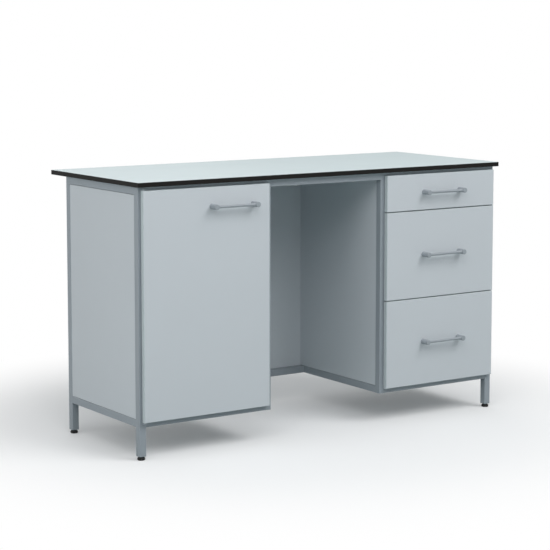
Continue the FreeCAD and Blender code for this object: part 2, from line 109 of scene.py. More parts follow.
# %% Camera
camera_data = bpy.data.cameras.new("bench_camera")
camera_data.sensor_width = 36.0
camera_data.lens = 118.97
camera_data.shift_y = -0.10
camera_data.clip_end = 60.0
camera = bpy.data.objects.new("bench_camera", camera_data)
camera.location = (-3.5898, -5.2780, 1.4324)
camera.rotation_euler = (math.radians(83.576), 0.0, math.radians(-33.955))
bpy.context.scene.collection.objects.link(camera)
bpy.context.scene.camera = camera
bpy.context.scene.view_settings.view_transform = "Standard"
print("camera", round((camera.location - (solids_low + solids_high) / 2).length, 2), "m from the bench")

# %% [markdown]
# ## Small helpers for node trees
#
# A shader tree is a set of boxes and wires. One helper adds a box with its settings and its
# inputs, each a value or a wire from another box. Others make a group with named sockets, place
# it in a material, and mix two colours. They keep each material down to a few lines.

# %% Node helpers
def add_node(tree, kind, inputs=None, **settings):
    """A node with its settings and the values or wires of its inputs."""
    node = tree.nodes.new(kind)
    for name, value in settings.items():
        setattr(node, name, value)
    for name, value in (inputs or {}).items():
        if isinstance(value, bpy.types.NodeSocket):
            tree.links.new(value, node.inputs[name])
        else:
            node.inputs[name].default_value = value
    return node


def new_group(name, inputs, outputs):
    """An empty shader group with named sockets, and its two ends."""
    tree = bpy.data.node_groups.new(name, "ShaderNodeTree")
    for kind, label, value in inputs:
        socket = tree.interface.new_socket(label, in_out="INPUT", socket_type=kind)
        if value is not None:
            socket.default_value = value
    for kind, label in outputs:
        tree.interface.new_socket(label, in_out="OUTPUT", socket_type=kind)
    return tree, tree.nodes.new("NodeGroupInput"), tree.nodes.new("NodeGroupOutput")


def use_group(tree, group, inputs):
    """A group placed in a material, with this material's own values."""
    return add_node(tree, "ShaderNodeGroup", inputs, node_tree=group)


MIX_SHARE = 0
MIX_FIRST = 6
MIX_SECOND = 7
MIX_RESULT = 2


def mix_colours(tree, share, first, second):
    """Two colours mixed, the second by the share. A Mix node's colour sockets go by number."""
    node = add_node(tree, "ShaderNodeMix", {MIX_SHARE: share, MIX_FIRST: first, MIX_SECOND: second},
                    data_type="RGBA")
    return node.outputs[MIX_RESULT]


FLOAT = "NodeSocketFloat"
COLOUR = "NodeSocketColor"
VECTOR = "NodeSocketVector"
print("node helpers ready")

# %% [markdown]
# ## Light
#
# The bench stands in a bright studio. Five broad soft boxes light it at about the level where a
# colour renders as it is written. The two strong ones in front are high up, so the worktop is the
# brightest face and the kneehole falls off into shade. A weak one between them is lower down, and
# the one on the left keeps the end panel nearly as light as the fronts. Another behind keeps the
# back from going dark. A faint sky fills in from above. The sky is white where the camera or a
# reflection looks at it.

# %% World
SKY_LOW = 0.06
SKY_HIGH = 0.42
SKY_COLOUR = (0.94, 0.985, 1.0, 1.0)
WHITE = (1.0, 1.0, 1.0, 1.0)

world = bpy.data.worlds.new("even_room")
bpy.context.scene.world = world
world.use_nodes = True
sky = world.node_tree
sky.nodes.clear()
rays = add_node(sky, "ShaderNodeLightPath")
camera_or_glossy = add_node(sky, "ShaderNodeMath", {0: rays.outputs["Is Camera Ray"],
                            1: rays.outputs["Is Glossy Ray"]}, operation="MAXIMUM")
looked_at = add_node(sky, "ShaderNodeMath", {0: camera_or_glossy.outputs[0],
                     1: rays.outputs["Is Transmission Ray"]}, operation="MAXIMUM")
direction = add_node(sky, "ShaderNodeTexCoord")
upward = add_node(sky, "ShaderNodeSeparateXYZ", {"Vector": direction.outputs["Generated"]})
brightness = add_node(sky, "ShaderNodeMapRange", {"Value": upward.outputs["Z"], "To Min": SKY_LOW,
                      "To Max": SKY_HIGH})
room_light = add_node(sky, "ShaderNodeBackground", {"Color": SKY_COLOUR,
                      "Strength": brightness.outputs[0]})
white = add_node(sky, "ShaderNodeBackground", {"Color": WHITE, "Strength": 1.0})
chosen = add_node(sky, "ShaderNodeMixShader", {0: looked_at.outputs[0], 1: room_light.outputs[0],
                  2: white.outputs[0]})
add_node(sky, "ShaderNodeOutputWorld", {"Surface": chosen.outputs[0]})
print("sky from", SKY_LOW, "at the horizon to", SKY_HIGH, "overhead")

# %% Soft boxes
def soft_box(name, place, target, size, power):
    """A square soft box that looks at a point."""
    lamp = bpy.data.lights.new(name, "AREA")
    lamp.size = size
    lamp.energy = power
    lamp_object = bpy.data.objects.new(name, lamp)
    lamp_object.location = place
    lamp_object.rotation_euler = (Vector(target) - Vector(place)).to_track_quat("-Z", "Y").to_euler()
    bpy.context.scene.collection.objects.link(lamp_object)


MIDDLE = (0.0, 0.0, 0.5)
BOX_SIZE = 3.2
SOFT_BOXES = [
    ("front_right_box", (1.8, -3.4, 4.2), 141.0),
    ("front_left_box", (-2.6, -3.2, 4.0), 84.0),
    ("front_box", (-0.6, -4.6, 2.6), 12.0),
    ("left_box", (-4.2, -0.6, 1.75), 49.0),
    ("rear_box", (1.0, 4.4, 3.0), 42.0),
]
for name, place, power in SOFT_BOXES:
    soft_box(name, place, MIDDLE, BOX_SIZE, power)
print("soft boxes", [name for name, place, power in SOFT_BOXES])

# %% [markdown]
# ## Floor
#
# The floor is one large pale plane. Close to the bench it is nearly all a matt surface, which
# takes a soft shadow. Further out it turns into plain white, so no horizon shows behind the
# bench. It throws back less light than it shows, so that undersides and the kneehole stay shaded.

# %% Floor
FLOOR_SIZE = 30.0
FLOOR_SHOWN = (0.90, 0.905, 0.91, 1.0)
FLOOR_BOUNCE = (0.42, 0.49, 0.49, 1.0)
WHITE_NEAR = 0.12
FADE_START = 0.7
FADE_END = 1.6

floor_mesh = bpy.data.meshes.new("floor")
bm = bmesh.new()
bmesh.ops.create_grid(bm, x_segments=1, y_segments=1, size=FLOOR_SIZE / 2)
bm.to_mesh(floor_mesh)
bm.free()
floor = bpy.data.objects.new("floor", floor_mesh)
bpy.context.scene.collection.objects.link(floor)

floor_paint = bpy.data.materials.new("pale_floor")
floor_paint.use_nodes = True
tree = floor_paint.node_tree
tree.nodes.clear()
where = add_node(tree, "ShaderNodeTexCoord")
far = add_node(tree, "ShaderNodeVectorMath", {0: where.outputs["Object"]}, operation="LENGTH")
fade = add_node(tree, "ShaderNodeMapRange", {"Value": far.outputs["Value"], "From Min": FADE_START,
                "From Max": FADE_END, "To Min": WHITE_NEAR}, interpolation_type="SMOOTHSTEP")
rays = add_node(tree, "ShaderNodeLightPath")
seen = add_node(tree, "ShaderNodeMath", {0: rays.outputs["Is Camera Ray"],
                1: rays.outputs["Is Glossy Ray"]}, operation="MAXIMUM")
share = add_node(tree, "ShaderNodeMath", {0: fade.outputs[0], 1: seen.outputs[0]},
                 operation="MULTIPLY")
tone = mix_colours(tree, seen.outputs[0], FLOOR_BOUNCE, FLOOR_SHOWN)
matt = add_node(tree, "ShaderNodeBsdfDiffuse", {"Color": tone})
plain_white = add_node(tree, "ShaderNodeEmission", {"Color": WHITE})
mixed = add_node(tree, "ShaderNodeMixShader", {0: share.outputs[0], 1: matt.outputs[0],
                 2: plain_white.outputs[0]})
add_node(tree, "ShaderNodeOutputMaterial", {"Surface": mixed.outputs[0]})
floor_mesh.materials.append(floor_paint)
print("floor", FLOOR_SIZE, "m wide")

# %% [markdown]
# ## Shared effects
#
# Three effects come back in many finishes, so each is a node group that is built once. *Fine
# texture* is the tiny relief of powder coat, melamine and moulded plastic, with a fifty times
# slower variation for the gloss. *Tone drift* lets a colour wander a little over a large face, as
# every real panel does. *Edge mask* finds a board's narrow sides, where the edge band is glued
# on: less than nine tenths of their normal lies along the axis of the board's face. Pictures could
# carry such effects too, but noise needs no file and stays sharp from close by.

# %% Fine texture
SLOW_SHARE = 0.02

fine_texture, ends_in, ends_out = new_group(
    "fine_texture",
    [(VECTOR, "Vector", None), (FLOAT, "Bumps Per Metre", 800.0), (FLOAT, "Softness", 0.5)],
    [(FLOAT, "Height"), (FLOAT, "Variation")],
)
waves = add_node(fine_texture, "ShaderNodeTexNoise", {"Vector": ends_in.outputs["Vector"],
                 "Scale": ends_in.outputs["Bumps Per Metre"], "Detail": 2.0, "Roughness": 0.45})
pits = add_node(fine_texture, "ShaderNodeTexVoronoi", {"Vector": ends_in.outputs["Vector"],
                "Scale": ends_in.outputs["Bumps Per Metre"]}, feature="SMOOTH_F1")
relief = add_node(fine_texture, "ShaderNodeMix", {"Factor": ends_in.outputs["Softness"],
                  "A": pits.outputs["Distance"], "B": waves.outputs["Fac"]}, data_type="FLOAT")
slow_scale = add_node(fine_texture, "ShaderNodeMath", {0: ends_in.outputs["Bumps Per Metre"],
                      1: SLOW_SHARE}, operation="MULTIPLY")
slow = add_node(fine_texture, "ShaderNodeTexNoise", {"Vector": ends_in.outputs["Vector"],
                "Scale": slow_scale.outputs[0], "Detail": 3.0})
fine_texture.links.new(relief.outputs["Result"], ends_out.inputs["Height"])
fine_texture.links.new(slow.outputs["Fac"], ends_out.inputs["Variation"])
print("group", fine_texture.name)

# %% Tone drift
tone_drift, ends_in, ends_out = new_group(
    "tone_drift",
    [(VECTOR, "Vector", None), (COLOUR, "Colour", (0.5, 0.5, 0.5, 1.0)),
     (FLOAT, "Patches Per Metre", 2.0), (FLOAT, "Drift", 0.04)],
    [(COLOUR, "Colour")],
)
patches = add_node(tone_drift, "ShaderNodeTexNoise", {"Vector": ends_in.outputs["Vector"],
                   "Scale": ends_in.outputs["Patches Per Metre"], "Detail": 3.0, "Roughness": 0.55})
darkest = add_node(tone_drift, "ShaderNodeMath", {0: 1.0, 1: ends_in.outputs["Drift"]},
                   operation="SUBTRACT")
lightest = add_node(tone_drift, "ShaderNodeMath", {0: 1.0, 1: ends_in.outputs["Drift"]},
                    operation="ADD")
level = add_node(tone_drift, "ShaderNodeMapRange", {"Value": patches.outputs["Fac"],
                 "From Min": 0.3, "From Max": 0.7, "To Min": darkest.outputs[0],
                 "To Max": lightest.outputs[0]})
shaded = add_node(tone_drift, "ShaderNodeHueSaturation", {"Color": ends_in.outputs["Colour"],
                  "Value": level.outputs[0]})
tone_drift.links.new(shaded.outputs["Color"], ends_out.inputs["Colour"])
print("group", tone_drift.name)

# %% Edge mask
FACE_FROM = 0.9

edge_mask, ends_in, ends_out = new_group(
    "edge_mask",
    [(VECTOR, "Normal", None), (VECTOR, "Face Axis", (0.0, 1.0, 0.0))],
    [(FLOAT, "Edge")],
)
along = add_node(edge_mask, "ShaderNodeVectorMath", {0: ends_in.outputs["Normal"],
                 1: ends_in.outputs["Face Axis"]}, operation="DOT_PRODUCT")
size = add_node(edge_mask, "ShaderNodeMath", {0: along.outputs["Value"]}, operation="ABSOLUTE")
narrow = add_node(edge_mask, "ShaderNodeMath", {0: size.outputs[0], 1: FACE_FROM},
                  operation="LESS_THAN")
edge_mask.links.new(narrow.outputs[0], ends_out.inputs["Edge"])
print("group", edge_mask.name)

# %% [markdown]
# ## Finishes
#
# Every finish is a Principled shader with its own colour, gloss and relief. The relief is about a
# hundredth of a millimetre deep, which is what makes a satin surface look satin: it breaks up the
# reflection without being seen by itself. Each finish could have a tree of its own, but they
# differ in their numbers and hardly in their build, so one function makes them all.

# %% A satin finish
GLOSS_RANGE = 0.05


def satin(name, colour, roughness, bumps, depth, softness=0.5, drift=0.03, patches=2.0, metallic=0.0,
          specular=0.5):
    """A material with drifting colour and fine relief, and the wires that others build on."""
    material = bpy.data.materials.new(name)
    material.use_nodes = True
    tree = material.node_tree
    tree.nodes.clear()
    place = add_node(tree, "ShaderNodeTexCoord")
    tone = use_group(tree, tone_drift, {"Vector": place.outputs["Object"], "Colour": (*colour, 1.0),
                     "Patches Per Metre": patches, "Drift": drift})
    texture = use_group(tree, fine_texture, {"Vector": place.outputs["Object"],
                        "Bumps Per Metre": bumps, "Softness": softness})
    gloss = add_node(tree, "ShaderNodeMapRange", {"Value": texture.outputs["Variation"],
                     "To Min": roughness - GLOSS_RANGE, "To Max": roughness + GLOSS_RANGE})
    bump = add_node(tree, "ShaderNodeBump", {"Height": texture.outputs["Height"],
                    "Distance": depth, "Strength": 1.0})
    shader = add_node(tree, "ShaderNodeBsdfPrincipled", {"Base Color": tone.outputs["Colour"],
                      "Roughness": gloss.outputs[0], "Metallic": metallic,
                      "Specular IOR Level": specular, "Normal": bump.outputs["Normal"]})
    add_node(tree, "ShaderNodeOutputMaterial", {"Surface": shader.outputs[0]})
    return material, {"tree": tree, "place": place, "tone": tone, "shader": shader, "bump": bump}


frame_paint, _ = satin("frame_powder_coat", (0.282, 0.315, 0.348), roughness=0.46, bumps=900.0,
                       depth=0.02 * MM, softness=0.85)
handle_paint, _ = satin("handle_satin_grey", (0.290, 0.319, 0.348), roughness=0.44, bumps=2200.0,
                        depth=0.006 * MM)
black_plastic, _ = satin("black_moulded_plastic", (0.007, 0.007, 0.007), roughness=0.50,
                         bumps=2500.0, depth=0.012 * MM, specular=0.25)
grey_plastic, _ = satin("grey_moulded_plastic", (0.27, 0.30, 0.33), roughness=0.50, bumps=2500.0,
                        depth=0.012 * MM)
catch_plastic, _ = satin("catch_white_plastic", (0.70, 0.71, 0.71), roughness=0.40, bumps=1800.0,
                         depth=0.008 * MM)
white_board, _ = satin("white_hardboard", (0.66, 0.68, 0.68), roughness=0.42, bumps=1400.0,
                       depth=0.015 * MM, drift=0.02)
print("plain finishes", [m.name for m in (frame_paint, handle_paint, black_plastic)])

# %% [markdown]
# ### Zinc-plated steel
#
# Runners, pins and screws are bright zinc. The plating is a metal with faint clouds about a
# centimetre across, and its gloss wanders a little over longer stretches. An even grey metal
# would do from far off, but on the open runners the clouds are what tells zinc from chrome.

# %% Zinc
zinc_steel, _ = satin("zinc_plated_steel", (0.62, 0.63, 0.64), roughness=0.34, bumps=260.0,
                      depth=0.008 * MM, drift=0.07, patches=90.0, metallic=1.0)
print("metal", zinc_steel.name)

# %% [markdown]
# ### Melamine boards
#
# The panels are chipboard with a grey melamine face and a plastic edge band. The band is a touch
# darker, and it sits on the narrow sides alone. A board's narrow sides are found from the axis
# that its face looks along. The boards of a drawer box stand both ways, so their faces look along
# x or y, and what looks up is their narrow sides. The band could be a strip of mesh, but it lies
# flush with the face, so a mask on the board itself draws the same line.

# %% Boards
BOARD_GREY = (0.545, 0.578, 0.612)
BAND_GREY = (0.492, 0.545, 0.565)
FACE_DIRECTIONS = {
    "x": (1.0, 0.0, 0.0),
    "y": (0.0, 1.0, 0.0),
    "z": (0.0, 0.0, 1.0),
    "box": (1.0, 1.0, 0.0),
}


def board(name, direction):
    """Melamine on the faces that look along a direction, and edge band on the narrow sides."""
    material, parts = satin(name, BOARD_GREY, roughness=0.44, bumps=1100.0, depth=0.018 * MM,
                            softness=0.4, drift=0.012)
    tree = parts["tree"]
    edge = use_group(tree, edge_mask, {"Normal": parts["place"].outputs["Normal"],
                     "Face Axis": direction})
    colour = mix_colours(tree, edge.outputs["Edge"], parts["tone"].outputs["Colour"], (*BAND_GREY, 1.0))
    tree.links.new(colour, parts["shader"].inputs["Base Color"])
    return material


board_across = {}
for axis, direction in FACE_DIRECTIONS.items():
    board_across[axis] = board(f"melamine_board_{axis}", direction)
print("boards", sorted(board_across))

# %% [markdown]
# ### Compact laminate
#
# The worktop is paper pressed with resin right through: black inside, with a pale decor sheet on
# the top and another underneath. The decor is a quarter of a millimetre thick, so the edge and
# its small chamfers are black. A slab of its own would be too thin to model well, so the shader
# splits the one solid: Object Z tells decor from core, and noise stretched along the slab draws
# the pressed layers on the edge.

# %% Worktop laminate
DECOR = 0.25 * MM
LAMINATE_PALE = (0.598, 0.682, 0.697)
CORE_BLACK = (0.005, 0.005, 0.005, 1.0)
CORE_BROWN = (0.013, 0.012, 0.011, 1.0)
LAYERS_PER_METRE = 900.0
ALONG_PER_METRE = 3.0

laminate, parts = satin("compact_laminate", LAMINATE_PALE, roughness=0.55, bumps=1300.0,
                        depth=0.012 * MM, drift=0.012, specular=0.1)
tree = parts["tree"]
height = add_node(tree, "ShaderNodeSeparateXYZ", {"Vector": parts["place"].outputs["Object"]})
above = add_node(tree, "ShaderNodeMath", {0: height.outputs["Z"], 1: worktop_high.z - DECOR},
                 operation="GREATER_THAN")
below = add_node(tree, "ShaderNodeMath", {0: height.outputs["Z"], 1: worktop_low.z + DECOR},
                 operation="LESS_THAN")
decor = add_node(tree, "ShaderNodeMath", {0: above.outputs[0], 1: below.outputs[0]},
                 operation="MAXIMUM")
pressed = add_node(tree, "ShaderNodeMapping", {"Vector": parts["place"].outputs["Object"],
                   "Scale": (ALONG_PER_METRE, ALONG_PER_METRE, LAYERS_PER_METRE)})
layers = add_node(tree, "ShaderNodeTexNoise", {"Vector": pressed.outputs["Vector"], "Scale": 1.0,
                  "Detail": 2.0})
core = mix_colours(tree, layers.outputs["Fac"], CORE_BLACK, CORE_BROWN)
colour = mix_colours(tree, decor.outputs[0], core, parts["tone"].outputs["Colour"])
tree.links.new(colour, parts["shader"].inputs["Base Color"])
print("laminate decor", DECOR / MM, "mm on a black core")

# %% [markdown]
# ## Finishes on the solids
#
# The record says which finish each solid has. The boards also need to know which way their face
# looks, and their own shape says it: a board is thinnest along its face's axis. Only the drawer
# boxes are told apart by name.

# %% Dress the solids
FINISH = {
    "compact_laminate": laminate,
    "frame_paint": frame_paint,
    "drawer_base_board": white_board,
    "handle_metal": handle_paint,
    "zinc_steel": zinc_steel,
    "black_plastic": black_plastic,
    "grey_plastic": grey_plastic,
    "catch_plastic": catch_plastic,
}


def face_axis(node):
    """The axis along which a board is thinnest, or "box" for the boards of a drawer box."""
    if node.endswith("_box"):
        return "box"
    low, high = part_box(node)
    sides = high - low
    return "xyz"[min(range(3), key=lambda index: sides[index])]


def dress(node, slot):
    """Give a solid its finish through its own material slots."""
    material = board_across[face_axis(node)] if slot == "grey_board" else FINISH[slot]
    for holder in frame["nodes"][node].material_slots:
        holder.material = material


for part in frame["record"]["subparts"]:
    dress(part["node"], part["material_slot"])

# %% [markdown]
# ## Making a piece
#
# Each new piece is drawn in a bmesh, at its place and real size. One helper turns the bmesh into
# a mesh: it merges doubles, points the faces outwards and smooths the round stretches. The other
# makes an object of the mesh and hands it to the body that carries it.

# %% Piece helpers
SMOOTH_BELOW = math.radians(40.0)
MERGE = 0.002 * MM


def finish_mesh(name, bm):
    """A mesh from a bmesh, with outward faces, smooth where its faces meet gently."""
    bmesh.ops.remove_doubles(bm, verts=bm.verts, dist=MERGE)
    bmesh.ops.recalc_face_normals(bm, faces=bm.faces)
    for face in bm.faces:
        face.smooth = True
    mesh = bpy.data.meshes.new(name)
    bm.to_mesh(mesh)
    bm.free()
    mesh.set_sharp_from_angle(angle=SMOOTH_BELOW)
    return mesh


def make_piece(name, mesh, material, body, replaces=()):
    """An object that shows a mesh and rides on a body."""
    mesh.materials.append(material)
    piece = bpy.data.objects.new(name, mesh)
    bpy.context.scene.collection.objects.link(piece)
    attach(piece, body)
    if replaces:
        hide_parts(*replaces)
    return piece


print("piece helpers ready")

# %% [markdown]
# ## Turned shapes
#
# Handles, feet and screws are turned on a lathe, or look as if they were. A turned shape is a
# profile of a few points, each a radius and a distance along the axis, spun right round. The
# corners of a profile are rounded by small arcs before it is spun. A bevelled cylinder would do
# for the simplest, but a profile gives any neck, rim or socket with the same tool. Where several
# closed shapes make one piece, an exact boolean unites them, or cuts one out of another.

# %% Lathe
ARC_STEPS = 5


def rounded(profile):
    """A profile's points, where (radius, height, rounding) corners become arcs."""
    points = []
    for index, (radius, height, rounding) in enumerate(profile):
        here = Vector((radius, height))
        if rounding == 0:
            points.append(here)
            continue
        back = (Vector(profile[index - 1][:2]) - here).normalized()
        ahead = (Vector(profile[index + 1][:2]) - here).normalized()
        half = back.angle(ahead) / 2
        centre = here + (back + ahead).normalized() * (rounding / math.sin(half))
        first = here + back * (rounding / math.tan(half)) - centre
        last = here + ahead * (rounding / math.tan(half)) - centre
        for step in range(ARC_STEPS + 1):
            points.append(centre + first.lerp(last, step / ARC_STEPS).normalized() * rounding)
    return points


def turned(bm, foot, axis, profile, segments):
    """Spin a rounded profile about an axis that starts at a foot point."""
    axis = axis.normalized()
    side = axis.orthogonal().normalized()
    verts = [bm.verts.new(foot + side * radius + axis * height) for radius, height in rounded(profile)]
    edges = [bm.edges.new(pair) for pair in zip(verts, verts[1:])]
    bmesh.ops.spin(bm, geom=verts + edges, cent=foot, axis=axis, angle=math.tau, steps=segments,
                   use_merge=True)


print("lathe ready,", ARC_STEPS, "steps to a rounded corner")

# %% Uniting and cutting
def combined(name, meshes, operation="UNION"):
    """Closed meshes joined into one, or the later ones cut out of the first."""
    holders = [bpy.data.objects.new(name, mesh) for mesh in meshes]
    for holder in holders:
        bpy.context.scene.collection.objects.link(holder)
    for other in holders[1:]:
        step = holders[0].modifiers.new("step", "BOOLEAN")
        step.operation = operation
        step.solver = "EXACT"
        step.object = other
    graph = bpy.context.evaluated_depsgraph_get()
    joined = bpy.data.meshes.new_from_object(holders[0].evaluated_get(graph))
    for holder in holders:
        bpy.data.objects.remove(holder)
    joined.set_sharp_from_angle(angle=SMOOTH_BELOW)
    return joined


print("boolean helper ready")

# %% [markdown]
# ## Handles
#
# Each handle is a bow: two round posts stand on the front, and a thinner bar is welded between
# them near their tips. The tips are turned to a soft rounding. A small fillet of weld runs round
# each end of the bar. It is spun round the bar and then pressed against the post, so that it
# follows the post's curve. The shapes could just cross each other, but then the joint would be a
# hard line with stray faces inside, so posts, bar and fillets are united into one closed skin.

# %% Weld fillet
BAR_RADIUS = 5.0 * MM
BAR_SEGMENTS = 40
WELD_FILLET = 1.5 * MM
HOLLOW_LONG = 0.45 * WELD_FILLET
HOLLOW_SHORT = 0.15 * WELD_FILLET
SUNK = 0.4 * MM


def weld_ring(bm, post_x, way, y, z, post_radius):
    """A concave fillet round the bar's end, pressed onto the post's round side."""
    inside = BAR_RADIUS - SUNK
    outside = BAR_RADIUS + WELD_FILLET
    profile = [(inside, -SUNK, 0), (outside, -SUNK, 0), (outside, 0, 0),
               (BAR_RADIUS + HOLLOW_LONG, HOLLOW_SHORT, 0),
               (BAR_RADIUS + HOLLOW_SHORT, HOLLOW_LONG, 0), (BAR_RADIUS, WELD_FILLET, 0),
               (inside, WELD_FILLET, 0), (inside, -SUNK, 0)]
    turned(bm, Vector((0.0, y, z)), Vector((way, 0.0, 0.0)), profile, BAR_SEGMENTS)
    for vert in bm.verts:
        off_axis = vert.co.z - z
        surface = math.sqrt(post_radius ** 2 - off_axis ** 2)
        vert.co.x += post_x + way * surface


print("weld fillet", WELD_FILLET / MM, "mm round a bar of", 2 * BAR_RADIUS / MM, "mm")

# %% Handles
POST_TIP_ROUND = 1.2 * MM
POST_FOOT_ROUND = 0.4 * MM
POST_SEGMENTS = 64
BAR_BEHIND_TIP = 9.0 * MM


def bow_handle(node, body):
    """The bow in the place of its solid."""
    low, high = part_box(node)
    post_radius = (high.z - low.z) / 2
    z = (low.z + high.z) / 2
    reach = high.y - low.y
    bar_y = low.y + BAR_BEHIND_TIP
    posts = [(low.x + post_radius, 1.0), (high.x - post_radius, -1.0)]
    shells = []
    for post_x, way in posts:
        bm = bmesh.new()
        profile = [(0, 0, 0), (post_radius, 0, POST_FOOT_ROUND), (post_radius, reach, POST_TIP_ROUND),
                   (0, reach, 0)]
        turned(bm, Vector((post_x, high.y, z)), Vector((0.0, -1.0, 0.0)), profile, POST_SEGMENTS)
        shells.append(finish_mesh("post", bm))
        bm = bmesh.new()
        weld_ring(bm, post_x, way, bar_y, z, post_radius)
        shells.append(finish_mesh("weld", bm))
    bm = bmesh.new()
    run = posts[1][0] - posts[0][0]
    turned(bm, Vector((posts[0][0], bar_y, z)), Vector((1.0, 0.0, 0.0)),
           [(0, 0, 0), (BAR_RADIUS, 0, 0), (BAR_RADIUS, run, 0), (0, run, 0)], BAR_SEGMENTS)
    shells.append(finish_mesh("bar", bm))
    mesh = combined(f"{node}_bow", shells)
    return make_piece(f"{node}_bow", mesh, handle_paint, body, (node,))


handles = [bow_handle("door_handle", "door")]
handles += [bow_handle(f"drawer_{name}_handle", f"drawer_{name}") for name in DRAWERS]
print("handles", [(piece.name, len(piece.data.polygons)) for piece in handles])

# %% [markdown]
# ## Levelling feet
#
# A foot is a moulded pad on a threaded stud. The pad is a thick disc with a well rounded rim, and
# it is turned from its profile. A thread could be drawn as relief on a plain rod, but its teeth
# show against the light. So it is one tooth's profile that climbs as it is spun, and two planes
# cut its ends square. Pad and stud are separate pieces, because they differ in finish, but both
# ride on the foot's own body, so they screw up and down together.

# %% Thread
STUD_RADIUS = 4.0 * MM
THREAD_ROOT = 3.35 * MM
THREAD_PITCH = 1.25 * MM
THREAD_STEPS = 20
CREST_FROM = 0.42
CREST_TO = 0.58
TURNS_BELOW = 1.5
SPARE_TURNS = 2


def cut_square(bm, height, way):
    """Cut an upright shape at a height, keep one side and close it."""
    geometry = bm.verts[:] + bm.edges[:] + bm.faces[:]
    cut = bmesh.ops.bisect_plane(bm, geom=geometry, dist=MERGE, plane_co=(0.0, 0.0, height),
                                 plane_no=(0.0, 0.0, way), clear_outer=True)
    rim = [part for part in cut["geom_cut"] if isinstance(part, bmesh.types.BMEdge)]
    bmesh.ops.contextual_create(bm, geom=rim)


def threaded_stud(bm, x, y, low, high):
    """A right-hand thread between two heights."""
    turns = math.ceil((high - low) / THREAD_PITCH) + SPARE_TURNS
    tooth = [(THREAD_ROOT, 0.0), (STUD_RADIUS, CREST_FROM), (STUD_RADIUS, CREST_TO),
             (THREAD_ROOT, 1.0)]
    start = low - THREAD_PITCH * TURNS_BELOW
    verts = [bm.verts.new((x + radius, y, start + share * THREAD_PITCH)) for radius, share in tooth]
    edges = [bm.edges.new(pair) for pair in zip(verts, verts[1:])]
    bmesh.ops.spin(bm, geom=verts + edges, cent=(x, y, 0.0), axis=(0.0, 0.0, 1.0),
                   dvec=(0.0, 0.0, THREAD_PITCH / THREAD_STEPS), angle=math.tau * turns,
                   steps=THREAD_STEPS * turns)
    bmesh.ops.remove_doubles(bm, verts=bm.verts, dist=MERGE)
    cut_square(bm, high, 1.0)
    cut_square(bm, low, -1.0)


print("thread", 2 * STUD_RADIUS / MM, "mm across, pitch", THREAD_PITCH / MM, "mm")

# %% Feet
PAD_RADIUS = 13.0 * MM
PAD_HEIGHT = 10.0 * MM
PAD_LOWER_ROUND = 3.6 * MM
PAD_UPPER_ROUND = 5.0 * MM
PAD_CROWN = 0.4 * MM
PAD_FLAT_RADIUS = 6.5 * MM
PAD_SEGMENTS = 56
STUD_SOCKET = 3.0 * MM
STUD_CLEAR = 0.1 * MM


def foot_pieces(corner):
    """The pad and the stud at one corner."""
    x, y = CORNERS[corner]
    node = f"foot_{corner}"
    low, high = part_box(node)
    socket = STUD_RADIUS + STUD_CLEAR
    profile = [(0, 0, 0), (PAD_RADIUS, 0, PAD_LOWER_ROUND),
               (PAD_RADIUS, PAD_HEIGHT - PAD_CROWN, PAD_UPPER_ROUND), (PAD_FLAT_RADIUS, PAD_HEIGHT, 0),
               (socket, PAD_HEIGHT, 0), (socket, PAD_HEIGHT - STUD_SOCKET, 0),
               (0, PAD_HEIGHT - STUD_SOCKET, 0)]
    bm = bmesh.new()
    turned(bm, Vector((x, y, low.z)), Vector((0.0, 0.0, 1.0)), profile, PAD_SEGMENTS)
    pad = make_piece(f"{node}_pad", finish_mesh(f"{node}_pad", bm), black_plastic, node,
                     (node,))
    bm = bmesh.new()
    threaded_stud(bm, x, y, low.z + PAD_HEIGHT - STUD_SOCKET + STUD_CLEAR, high.z)
    stud = make_piece(f"{node}_stud", finish_mesh(f"{node}_stud", bm), zinc_steel, node)
    return pad, stud


feet = [foot_pieces(corner) for corner in CORNERS]
print("feet", [(pad.name, len(pad.data.polygons), len(stud.data.polygons)) for pad, stud in feet])

# %% [markdown]
# ## Weld seams
#
# The frame is welded from square tube. Where two tubes end flush, the weld fills the groove that
# the tube's round corner leaves, and is ground flat. In an inner corner it stays as a small
# hollow fillet. Both have the same section: a square corner less a quarter circle. One function
# draws it, one puts it round a tube's end, and one goes through all the tube ends. A bevel on the
# tubes can't make it, because it joins two solids, and relief has nothing to stand on in a gap.

# %% Seam shapes
FILLET = 2.2 * MM
SEAM_STEPS = 6
X_AXIS = Vector((1.0, 0.0, 0.0))
Y_AXIS = Vector((0.0, 1.0, 0.0))
Z_AXIS = Vector((0.0, 0.0, 1.0))


def spandrel(bm, corner, first, second, radius, length):
    """A bar whose section is a square corner less a quarter circle, centred on the corner."""
    along = first.cross(second)
    start = corner - along * (length / 2)
    centre = start + (first + second) * radius
    tip = bm.verts.new(start)
    edge = bm.verts.new(start + first * radius)
    bmesh.ops.spin(bm, geom=[edge], cent=centre, axis=-along, angle=math.pi / 2, steps=SEAM_STEPS)
    arc = [edge]
    for step in range(SEAM_STEPS):
        arc.append(next(e.other_vert(arc[-1]) for e in arc[-1].link_edges
                        if e.other_vert(arc[-1]) not in arc))
    section = bm.faces.new([tip] + arc)
    swept = bmesh.ops.extrude_face_region(bm, geom=[section], use_keep_orig=True)
    moved = [part for part in swept["geom"] if isinstance(part, bmesh.types.BMVert)]
    bmesh.ops.translate(bm, verts=moved, vec=along * length)


def seam_round(bm, end, out, flush, corners):
    """The weld round a tube's end: ground flat on flush sides, a fillet in the corners."""
    for side in flush:
        spandrel(bm, end + side * HALF, out, -side, TUBE_CORNER, TUBE)
    for side in corners:
        spandrel(bm, end + side * HALF, -out, side, FILLET, TUBE - 2 * TUBE_CORNER)


print("seam fillet", FILLET / MM, "mm")

